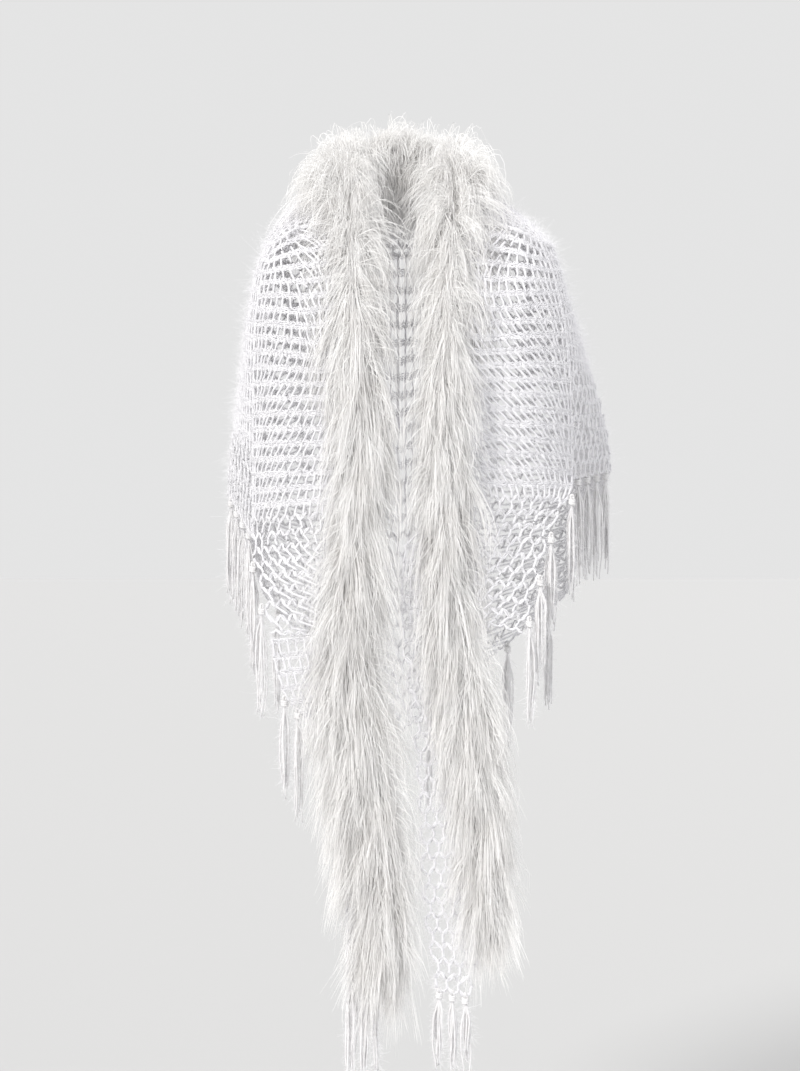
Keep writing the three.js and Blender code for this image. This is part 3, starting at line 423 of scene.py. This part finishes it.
def wisps(start, end, face, count, rng):
    """Single long barbs that stand clear of the locks and curl over at their ends."""
    s0, s1 = np.interp([start, end], PLACES, LENGTH)
    place = np.interp(rng.uniform(s0, s1, count), LENGTH, PLACES)
    turn = rng.uniform(-0.1, math.pi + 0.1, count)
    reach = table_at(REACH, place)
    radial = table_at(NET_WAY, place) * np.cos(turn)[:, None]
    radial = radial + table_at(OUTSIDE, place) * (face * np.sin(turn))[:, None]
    wide = np.where(np.cos(turn) > 0, reach[:, 0], reach[:, 1])
    deep = reach[:, 2] if face > 0 else reach[:, 3]
    radius = np.sqrt((wide * np.cos(turn)) ** 2 + (deep * np.sin(turn)) ** 2)
    root = table_at(LINE, place) + radial * ROOT_RADIUS
    hang = smooth(-root[:, 2], HANG_START, HANG_END)
    out = radius * rng.uniform(0.75, 1.3, count) * (1 + 0.3 * (1 - hang))
    down = rng.uniform(35, 105, count) * (0.55 + 0.45 * hang)
    rise = rng.uniform(0, 34, count) * (1 - 0.75 * hang)
    t = np.linspace(0, 1, BARB_POINTS)[None, :, None]
    bow = unit(rng.normal(size=(count, 3)))[:, None] * rng.uniform(6, 26, count)[:, None, None]
    return (
        root[:, None]
        + radial[:, None] * out[:, None, None] * (1 - (1 - t) ** 1.8)
        - np.array([0, 0, 1.0]) * down[:, None, None] * t**2
        + np.array([0, 0, 1.0]) * rise[:, None, None] * np.sin(t * math.pi * 0.85)
        + bow * np.sin(t * math.pi * 1.2) * t
    )


def keep_apart(curves, side):
    """Barbs of each front stay on their own side of the plane midway between the two fronts."""
    drop = -curves[..., 2]
    step = np.clip((drop - FRONT_START) / FRONT_STEP, 0, 15)
    middle = (np.interp(step, range(16), LEFT_SWAY) + np.interp(step, range(16), RIGHT_SWAY)) / 2
    over = side * (middle - curves[..., 0]) + 3
    limit = smooth(drop, 60, 260)
    soft = np.where(over > 0, over * 0.75 * limit, 0)
    curves[..., 0] += side * soft
    return curves


FRONT_BARBS_A_WISP, COLLAR_BARBS_A_WISP = 14, 8


def feather_piece(name, start, end, face, side, count, seed):
    """One ply of the boa, barb by barb."""
    rng = np.random.default_rng(seed)
    curves = feather_locks(start, end, face, count, rng)
    single = count // (FRONT_BARBS_A_WISP if side else COLLAR_BARBS_A_WISP)
    curves = np.concatenate([curves, wisps(start, end, face, single, rng)])
    if side:
        curves = keep_apart(curves, side)
    n = len(curves)
    t = np.linspace(0, 1, BARB_POINTS)
    width = rng.uniform(0.7, 1.25, (n, 1)) * (0.25 + 0.75 * (1 - t) ** 0.6)
    points, quads, tip = ribbons(curves, width, rng)
    ob = mesh_object(f"{name}_barbs", points, quads, FEATHER, tip)
    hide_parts(name)
    return ob


BARBS = 11000
GAP = 6.0                           # from a tail's hinge line to the feathers' roots
PLY_SPANS = {
    "left_tail": (CORD_END[-1], place_after(HINGE[-1], -GAP), -1),
    "left_front": (place_after(HINGE[-1], GAP), COLLAR_ENDS[-1], -1),
    "collar": (COLLAR_ENDS[-1], COLLAR_ENDS[1], 0),
    "right_front": (COLLAR_ENDS[1], place_after(HINGE[1], -GAP), 1),
    "right_tail": (place_after(HINGE[1], GAP), CORD_END[1], 1),
}


def bend_at_hinge(ob):
    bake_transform(ob)


for index, (span, (start, end, side)) in enumerate(PLY_SPANS.items()):
    for face, word in ((1, "outer"), (-1, "inner")):
        seed = FEATHER_SEED + index * 2 + (face > 0)
        piece = feather_piece(f"{span}_{word}_ply", start, end, face, side, BARBS, seed)
        if side:
            bend_at_hinge(piece)
        else:
            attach(piece, "shawl")

# ---- the net's panels -------------------------------------------------------------------------
def outline_side(side, drop):
    return along(OUTLINE, drop, 1 if side < 0 else 2)


def outline_depth(face, drop):
    return along(OUTLINE, drop, 3 if face < 0 else 4)


def rounded(share):
    return (1 - np.minimum(np.abs(share), 1) ** ROUNDNESS) ** (1 / ROUNDNESS)


def flare(side, y, drop):
    backward = np.clip((y + WING_HALF) / (2 * WING_HALF), 0, 1)
    return FLARE[side] * backward * np.clip((drop - FLARE_START) / (FLARE_END - FLARE_START), 0, 1)


def side_x(side, y, drop):
    return side * (outline_side(side, drop) * rounded(y / outline_depth(y, drop)) + flare(side, y, drop))


def front_y(side, x, drop):
    return -outline_depth(-1, drop) * rounded(x / outline_side(side, drop))


def front_row_end(side, station):
    drop = station
    if station < FRONT_SETTLE:
        drop = lerp(YOKE_DROP, FRONT_SETTLE, (station - FRONT_TOP) / (FRONT_SETTLE - FRONT_TOP))
    wing_hem = WING_HEM[side][0]
    edge = -(WING_HALF + PANEL_GAP)
    beside = side_x(side, edge, min(drop, wing_hem))
    if drop <= wing_hem:
        return np.array([beside, edge, -drop])
    x = side * along(FRONT_HEM[side], drop)
    y = front_y(side, x * abs(beside) / along(FRONT_HEM[side], wing_hem), drop)
    flat = smooth(drop, wing_hem, HINGE_DROP)
    ease = min(max((drop - wing_hem) / 60, 0), 1)
    return np.array([lerp(beside, x, ease), lerp(max(y, -CHEST_DEPTH), -CHEST_DEPTH, flat), -drop])


def bound_part(place):
    net = float(table_at(REACH, place)[0])
    us = np.array([NET_EDGE, net / 3, 2 * net / 3, net + NET_LEAVE])
    return [offset(place, u) for u in us]


def front_row(side, place):
    row = bound_part(place)
    leave_at = row[-1]
    drop0 = -float(table_at(LINE, place)[2])
    end = front_row_end(side, drop0)
    flat = smooth(drop0, HEM_FLAT_DROP, HINGE_DROP)
    for share in np.arange(1, 7) / 6:
        x, z, straight = (lerp(leave_at[k], end[k], share) for k in (0, 2, 1))
        pull = smooth(share, 0, 0.5) * (1 - smooth(share, 0.8, 1)) * (1 - flat)
        y = lerp(straight, min(front_y(side, x, max(-z, YOKE_DROP)), straight), pull)
        row.append(np.array([x, y, z]))
    return row


def shoulder_line(turn):
    if turn <= 1 or turn >= 2:
        side = -1 if turn <= 1 else 1
        y = lerp(-WING_HALF, WING_HALF, turn) if side < 0 else lerp(WING_HALF, -WING_HALF, turn - 2)
        return np.array([side_x(side, y, YOKE_DROP), y, -YOKE_DROP])
    left, right = (side_x(s, WING_HALF, YOKE_DROP) for s in (-1, 1))
    x = lerp(left, right, turn - 1)
    side = -1 if x < 0 else 1
    return np.array([x, outline_depth(1, YOKE_DROP) * rounded(x / outline_side(side, YOKE_DROP)), -YOKE_DROP])


def yoke_row(place, turn):
    row = bound_part(place)
    leave_at, end = row[-1], shoulder_line(turn)
    way = table_at(NET_WAY, place) * np.linalg.norm(end - leave_at) * 0.45
    for t in np.arange(1, 6) / 5:
        row.append((1 - t) ** 2 * leave_at + 2 * t * (1 - t) * (leave_at + way) + t * t * end)
    return row


def yoke_grid(start, end, turn_start, turn_end):
    places = np.linspace(place_after(start, 1), place_after(end, -1), 24)
    shares = (places - start) / (end - start)
    return np.array([yoke_row(p, lerp(turn_start, turn_end, q)) for p, q in zip(places, shares)])


def front_grid(side):
    ends = [place_after(HINGE[side], -side * PANEL_GAP), place_after(place_at_drop(side, FRONT_TOP), side)]
    return np.array([front_row(side, p) for p in np.linspace(ends[1], ends[0], 30)])


WING_TOP = YOKE_DROP + 0.6


def wing_grid(side):
    front, back = WING_HEM[side]
    front_x, back_x = side_x(side, -WING_HALF, front), side_x(side, WING_HALF, back)
    grid = []
    for down in np.linspace(0, 1, 16):
        row = []
        for across in np.linspace(0, 1, 10):
            y = lerp(-WING_HALF, WING_HALF, across)
            drop = lerp(WING_TOP, lerp(front, back, across), down)
            x = lerp(side_x(side, y, drop), lerp(front_x, back_x, across), down**3)
            row.append([x, y, -drop])
        grid.append(row)
    return np.array(grid)


def back_hem(share):
    side = -1 if share < 0 else 1
    across, corner = abs(share), WING_HEM[side][1]
    width = abs(side_x(side, WING_HALF, corner))
    corner_at = np.array([side * width, WING_HALF + PANEL_GAP, -corner])
    shoulder_at = np.array([side * width * BACK_SHOULDER, BACK_SHOULDER_DEPTH, -BACK_SHOULDER_HEM])
    point_at = np.array([0.0, BACK_POINT_DEPTH, -BACK_POINT_HEM])
    if across <= BACK_SHOULDER:
        return lerp(point_at, shoulder_at, across / BACK_SHOULDER)
    return lerp(shoulder_at, corner_at, (across - BACK_SHOULDER) / (1 - BACK_SHOULDER))


def back_grid(side):
    grid = []
    for down in np.linspace(0, 1, 24):
        row = []
        for share in side * np.linspace(0, 1, 16):
            hem = back_hem(share if share else side * 1e-6)
            drop = lerp(WING_TOP, -hem[2], down)
            width = abs(side_x(side, WING_HALF, min(drop, WING_HEM[side][1])))
            x = lerp(share * width, hem[0], down**2)
            reach = outline_side(side, drop) + flare(side, WING_HALF, drop)
            y = lerp(max(outline_depth(1, drop) * rounded(x / reach), WING_HALF + PANEL_GAP), hem[1], down**3)
            row.append([x, y, -drop])
        grid.append(row)
    return np.array(grid)


def strip_grid(side, start, end, widths, towards):
    places = np.linspace(start, end, 30)
    rows = []
    for p in places:
        width = along(widths, -float(table_at(LINE, p)[2]))
        rows.append([offset(p, towards * u) for u in np.linspace(NET_EDGE, width, 5)])
    return np.array(rows)


# ---- the net's yarn ----------------------------------------------------------------------------
def on_grid(grid, rows, columns):
    """Points of a grid at fractional rows and columns, smoothly between its own."""
    r, c = np.clip(rows, 0, grid.shape[0] - 1.0001), np.clip(columns, 0, grid.shape[1] - 1.0001)
    i, j = r.astype(int), c.astype(int)
    u, v = (r - i)[..., None], (c - j)[..., None]
    top = grid[i, j] * (1 - v) + grid[i, j + 1] * v
    low = grid[i + 1, j] * (1 - v) + grid[i + 1, j + 1] * v
    return top * (1 - u) + low * u


CELL_WIDE, CELL_TALL = 11.0, 21.5    # a cell of the net, in millimetres


def even_rows(grid, tall):
    """Row places so that courses lie one cell's height apart, measured down the grid's middle."""
    lengths = np.linalg.norm(np.diff(grid, axis=0), axis=2).mean(1)
    run = np.concatenate([[0], np.cumsum(lengths)])
    courses = max(2, round(run[-1] / tall))
    return np.interp(np.linspace(0, run[-1], courses + 1), run, np.arange(len(run)))


def even_columns(grid, row, count):
    here = on_grid(grid, np.full(60, row), np.linspace(0, grid.shape[1] - 1.001, 60))
    run = np.concatenate([[0], np.cumsum(np.linalg.norm(np.diff(here, axis=0), axis=1))])
    return np.interp(np.linspace(0, run[-1], count), run, np.linspace(0, grid.shape[1] - 1.001, 60)), run[-1]


# A band's strands: height in the band, swing and phase.
BAND = ((-3.7, 1.3, 0.0), (-1.3, -1.5, 0.6), (1.3, 1.5, 0.3), (3.7, -1.3, 0.9))
OPEN_BAND = ((-1.5, 1.0, 0.0), (0.2, -1.2, 0.5), (1.7, 1.1, 1.0))
OPEN_WIDER = 1.5                     # width of a cell in the open rows, over CELL_WIDE
OPEN_ARCH = 4.6                      # rise and fall of an arched cell's band
PER_CELL = 4


def net_yarn(grid, rng, across_first, open_rows):
    """Yarn curves of one panel: bands of crossing strands, bars, and arched cells low down."""
    if across_first:
        grid = grid.transpose(1, 0, 2)
    rows = even_rows(grid, CELL_TALL)
    tall = np.linalg.norm(np.diff(grid, axis=0), axis=2).mean(1).sum()
    per_mm = (grid.shape[0] - 1) / tall
    bands, bars, marks = [], [], []
    for k, row in enumerate(rows):
        _, length = even_columns(grid, row, 8)
        is_open = k >= len(rows) - open_rows
        cells = max(2, round(length / (CELL_WIDE * (OPEN_WIDER if is_open else 1.0))))
        columns, _ = even_columns(grid, row, cells * PER_CELL + 1)
        turn = np.arange(len(columns)) * 2 * math.pi / PER_CELL
        arch = OPEN_ARCH * np.cos(turn + math.pi * k) if is_open else 0 * turn
        marks.append((columns, cells, is_open))
        wobble = rng.normal(0, 0.7, len(columns))
        for lift, swing, phase in OPEN_BAND if is_open else BAND:
            wave = swing * np.cos(2 * turn + phase * math.pi)
            bands.append(on_grid(grid, row + (lift + wave + wobble + arch) * per_mm, columns))
    for k in range(len(rows) - 1):
        (columns, cells, is_open), (low, _, low_open) = marks[k], marks[k + 1]
        first = PER_CELL // 2 if is_open and k % 2 else 0
        tops = columns[first::PER_CELL]
        inset = OPEN_ARCH * per_mm if is_open and low_open else 0
        t = np.linspace(0, 1, 6)
        r = rows[k] + inset * 0.8 + (rows[k + 1] - rows[k] - 1.6 * inset) * t
        bottom = np.interp(tops / (grid.shape[1] - 1), np.linspace(0, 1, len(low)), low)
        sway = rng.normal(0, 0.05, (len(tops), 1))
        cols = tops[:, None] * (1 - t) + bottom[:, None] * t + sway * np.sin(t * math.pi)
        bars.append(on_grid(grid, np.broadcast_to(r, cols.shape), cols))
    return bands, np.concatenate(bars)


def resampled(curves, points):
    """Curves of unlike counts cut into pieces of equally many points."""
    cut = []
    for curve in curves:
        for start in range(0, len(curve) - 1, points - 1):
            piece = curve[start:start + points]
            if len(piece) < points:
                piece = np.concatenate([piece, np.repeat(piece[-1:], points - len(piece), 0)
                                        + np.linspace(0.01, 0.05, points - len(piece))[:, None]])
            cut.append(piece)
    return np.array(cut)


MOST_HAIRS = 11500                   # on one set of yarns


def halo(curves, per_mm, rng, long=14.0):
    """Fine stray hairs on yarn curves (N, K, 3)."""
    total = np.linalg.norm(np.diff(curves, axis=1), axis=2).sum()
    count = min(int(total * per_mm), MOST_HAIRS)
    pick = rng.integers(0, curves.shape[0], count)
    where = rng.uniform(0, curves.shape[1] - 1.001, count)
    i = where.astype(int)
    root = lerp(curves[pick, i], curves[pick, i + 1], (where - i)[:, None])
    way = unit(rng.normal(size=(count, 3)) + unit(curves[pick, i + 1] - curves[pick, i]) * 0.8)
    bend = unit(rng.normal(size=(count, 3)))
    size = rng.gamma(3.0, long / 3.0, count)[:, None, None]
    t = np.linspace(0, 1, 5)[None, :, None]
    return root[:, None] + way[:, None] * size * t * 0.8 + bend[:, None] * size * 0.35 * t**2


HAIRS = 1.0
BAND_HAIRS, BAR_HAIRS, TASSEL_HAIRS = 0.9, 2.0, 1.1    # a millimetre of yarn
MOST_YARN = 1.5                      # half the yarn's surface over the panel's flat area


def tube_area(curves, radii):
    """Half the surface of tubes along curves."""
    steps = np.linalg.norm(np.diff(curves, axis=1), axis=2)
    return float((steps * (radii[:, 1:] + radii[:, :-1]) / 2).sum() * math.pi)


def net_piece(name, grid, seed, across_first=False, open_rows=0, yarn=1.35):
    """A net panel: its yarn as one sheet, and its fuzz as a piece that goes with it."""
    rng = np.random.default_rng(seed)
    bands, bars = net_yarn(grid, rng, across_first, open_rows)
    cut = resampled(bands, 9)
    cut += rng.normal(0, 0.35, cut.shape)
    bars += rng.normal(0, 0.3, bars.shape)
    r1 = yarn * rng.uniform(0.78, 1.1, cut.shape[:2])
    r2 = yarn * rng.uniform(1.15, 1.6, bars.shape[:2])
    thin = min(1, MOST_YARN * grid_area(grid) / MM**2 / (tube_area(cut, r1) + tube_area(bars, r2)))
    p1, f1 = tubes(cut, r1 * thin)
    p2, f2 = tubes(bars, r2 * thin)
    points = np.concatenate([p1, p2])
    faces = [f1[0], f1[1], f2[0] + len(p1), f2[1] + len(p1)]
    ob = mesh_object(f"{name}_yarn", points, faces, MOHAIR)
    hairs = np.concatenate([halo(cut, BAND_HAIRS * HAIRS, rng, 13.0),
                            halo(bars, BAR_HAIRS * HAIRS, rng, 11.0)])
    width = np.full(hairs.shape[:2], 0.3) * np.linspace(1, 0.35, 5)
    hp, hq, tip = ribbons(hairs, width, rng)
    fuzz = mesh_object(f"{name}_halo", hp, hq, HALO, tip)
    return ob, fuzz


def grid_area(grid):
    one = np.cross(grid[1:, :-1] - grid[:-1, :-1], grid[:-1, 1:] - grid[:-1, :-1])
    two = np.cross(grid[1:, 1:] - grid[:-1, 1:], grid[1:, 1:] - grid[1:, :-1])
    return (np.linalg.norm(one, axis=-1).sum() + np.linalg.norm(two, axis=-1).sum()) / 2 * MM * MM


FRONT_TOP_PLACE = {s: place_at_drop(s, FRONT_TOP) for s in (-1, 1)}
NAPE = {-1: FIRST + 1.3, 1: LAST - 1.3}
NETS = {
    "net_left_shoulder": (yoke_grid(FRONT_TOP_PLACE[-1], NAPE[-1], 0, 1), True, 0),
    "net_upper_back": (yoke_grid(NAPE[-1], NAPE[1], 1, 2), True, 0),
    "net_right_shoulder": (yoke_grid(NAPE[1], FRONT_TOP_PLACE[1], 2, 3), True, 0),
    "net_left_front": (front_grid(-1), False, 9),
    "net_right_front": (front_grid(1), False, 10),
    "net_left_wing": (wing_grid(-1), False, 6),
    "net_right_wing": (wing_grid(1), False, 8),
    "net_back_left": (back_grid(-1), False, 12),
    "net_back_right": (back_grid(1), False, 12),
    "net_left_tail": (strip_grid(-1, place_at_drop(-1, NET_END[-1]), place_after(HINGE[-1], -PANEL_GAP),
                                 TAIL_NET[-1], 1), False, 0),
    "net_right_tail": (strip_grid(1, place_after(HINGE[1], PANEL_GAP), place_at_drop(1, NET_END[1]),
                                  TAIL_NET[1], -1), False, 99),
    "net_right_turnback": (strip_grid(1, place_at_drop(1, INNER_NET[0][0]), place_after(HINGE[1], -PANEL_GAP),
                                      INNER_NET, -1), False, 0),
}
for index, (name, (grid, across_first, open_rows)) in enumerate(NETS.items()):
    pair = net_piece(name, grid, NET_SEED + index, across_first, open_rows)
    node = "net_back" if name.startswith("net_back") else name
    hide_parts(node)
    side, wing = (-1, "left_wing") if "left" in name else (1, "right_wing")
    for piece in pair:
        if name.endswith(("tail", "wing")):
            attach(piece, name[4:])
        elif name.endswith("front") or name.startswith("net_back"):
            face = -1 if name.endswith("front") else 1
            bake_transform(piece)
        else:
            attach(piece, "shawl")

# ---- tassels ------------------------------------------------------------------------------------
STRANDS, STRAND_POINTS, STRAND_RADIUS = 11, 16, 1.35
RING_POINTS, RING_YARN, RING_RADIUS = 9, 1.9, 3.6
KNOT_RINGS = ((0.0, -3.5), (0.5, -6.0), (-0.5, -8.5))    # tilt and height of each turn of the knot


def tassel_piece(name, seed):
    """A knotted bunch of yarns where the CAD tassel hangs."""
    rng = np.random.default_rng(seed)
    low, high = (np.array(v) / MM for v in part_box(name))
    centre, length = (low + high) / 2, high[2] - low[2]
    t = np.linspace(0, 1, STRAND_POINTS)
    turn = rng.uniform(0, 2 * math.pi, STRANDS)
    spread = rng.uniform(1.5, 8.5, STRANDS)
    size = length * rng.uniform(0.8, 1.14, STRANDS)
    wave = rng.uniform(0, 2 * math.pi, (STRANDS, 1))
    open_up = smooth(t, 0.02, 0.35) * (1 - 0.35 * smooth(t, 0.6, 1))
    x = centre[0] + (np.cos(turn) * spread)[:, None] * open_up + 1.6 * np.sin(t * 7 + wave) * t
    y = centre[1] + (np.sin(turn) * spread)[:, None] * open_up + 1.6 * np.cos(t * 6 + wave) * t
    z = high[2] - 5 - (size - 6)[:, None] * t
    curves = np.stack([x, y, z], -1)
    radii = np.full((STRANDS, STRAND_POINTS), STRAND_RADIUS) * (1 - 0.45 * t**3)
    radii = radii * rng.uniform(0.85, 1.15, (STRANDS, STRAND_POINTS))
    p1, f1 = tubes(curves, radii)
    a = np.linspace(0, 2 * math.pi, RING_POINTS)
    rings = []
    for tilt, deep in KNOT_RINGS:
        rings.append(np.stack([centre[0] + RING_RADIUS * np.cos(a), centre[1] + RING_RADIUS * np.sin(a),
                               high[2] + deep + 1.5 * np.sin(a + tilt)], -1))
    loop = np.stack([centre[0] + 2.2 * np.cos(a), centre[1] + 0 * a, high[2] + 0.5 + 3.5 * np.sin(a)], -1)
    rings.append(loop)
    rings = np.array(rings)
    p2, f2 = tubes(rings, np.full(rings.shape[:2], RING_YARN))
    faces = [f1[0], f1[1], f2[0] + len(p1), f2[1] + len(p1)]
    ob = mesh_object(f"{name}_yarn", np.concatenate([p1, p2]), faces, TASSEL)
    hairs = halo(curves, TASSEL_HAIRS * HAIRS, rng, 9.0)
    hp, hq, tip = ribbons(hairs, np.full(hairs.shape[:2], 0.22), rng)
    fuzz = mesh_object(f"{name}_halo", hp, hq, HALO, tip)
    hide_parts(name)
    for piece in (ob, fuzz):
        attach(piece, frame["nodes"][name]["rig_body"])
    return [ob, fuzz]


for index, node in enumerate(sorted(n for n in frame["nodes"] if "tassel" in n)):
    tassel_piece(node, TASSEL_SEED + index)


# ---- cord, binding yarn and whippings keep their CAD shape ---------------------------------------
for node, ob in frame["nodes"].items():
    if "cord" in node or "binding" in node:
        ob.data.materials.clear()
        ob.data.materials.append(COTTON)


# ---- floor, light and camera ----------------------------------------------------------
def plain_material(name, colour):
    mat = bpy.data.materials.new(name)
    mat.use_nodes = True
    main = mat.node_tree.nodes["Principled BSDF"]
    main.inputs["Base Color"].default_value = (*colour, 1)
    main.inputs["Roughness"].default_value = 0.9
    return mat


FLOOR_COLOUR = (0.505, 0.505, 0.505)
FLOOR_DROP, FLOOR_HALF = 1500.0, 60000.0


def floor():
    """A plain floor, at the height of the ground under a wearer."""
    corners = [(-1, -1), (1, -1), (1, 1), (-1, 1)]
    points = np.array([(x * FLOOR_HALF, y * FLOOR_HALF, -FLOOR_DROP) for x, y in corners])
    paint = plain_material("pale_floor", FLOOR_COLOUR)
    mesh_object("floor", points, np.array([[0, 1, 2, 3]]), paint)


def broad_light(name, direction, spread, strength, colour):
    """A soft light from one direction, as even over the floor as over the object."""
    data = bpy.data.lights.new(name, "SUN")
    data.angle = math.radians(spread)
    data.energy = strength
    data.color = colour
    ob = bpy.data.objects.new(name, data)
    bpy.context.scene.collection.objects.link(ob)
    ob.rotation_mode = "QUATERNION"
    ob.rotation_quaternion = (-Vector(direction)).to_track_quat("-Z", "Y")


def world_light(colour, strength):
    world = bpy.data.worlds.new("studio")
    world.use_nodes = True
    world.node_tree.nodes["Background"].inputs["Color"].default_value = (*colour, 1)
    world.node_tree.nodes["Background"].inputs["Strength"].default_value = strength
    bpy.context.scene.world = world


floor()
broad_light("key", (-1.3, -1.9, 1.5), 20, 2.7, (1.0, 0.985, 0.965))
broad_light("fill", (2.0, -1.8, 0.5), 50, 0.7, (0.95, 0.96, 1.0))
broad_light("back", (0.7, 2.0, 1.4), 40, 0.9, (1.0, 1.0, 1.0))
world_light((1.0, 1.0, 1.0), 0.78)
bpy.context.scene.view_settings.view_transform = "Standard"

CAMERA_AWAY, FRAME_TALL, SENSOR_TALL = 4.0, 1.553, 24.0    # metres, metres in view, millimetres
CAMERA_AT = (0.003, -CAMERA_AWAY, -0.501)
data = bpy.data.cameras.new("camera")
data.sensor_fit = "VERTICAL"
data.sensor_height = SENSOR_TALL
data.lens = SENSOR_TALL / 2 / (FRAME_TALL / 2 / CAMERA_AWAY)
camera = bpy.data.objects.new("camera", data)
bpy.context.scene.collection.objects.link(camera)
camera.location = CAMERA_AT
camera.rotation_euler = (math.pi / 2, 0, 0)
bpy.context.scene.camera = camera
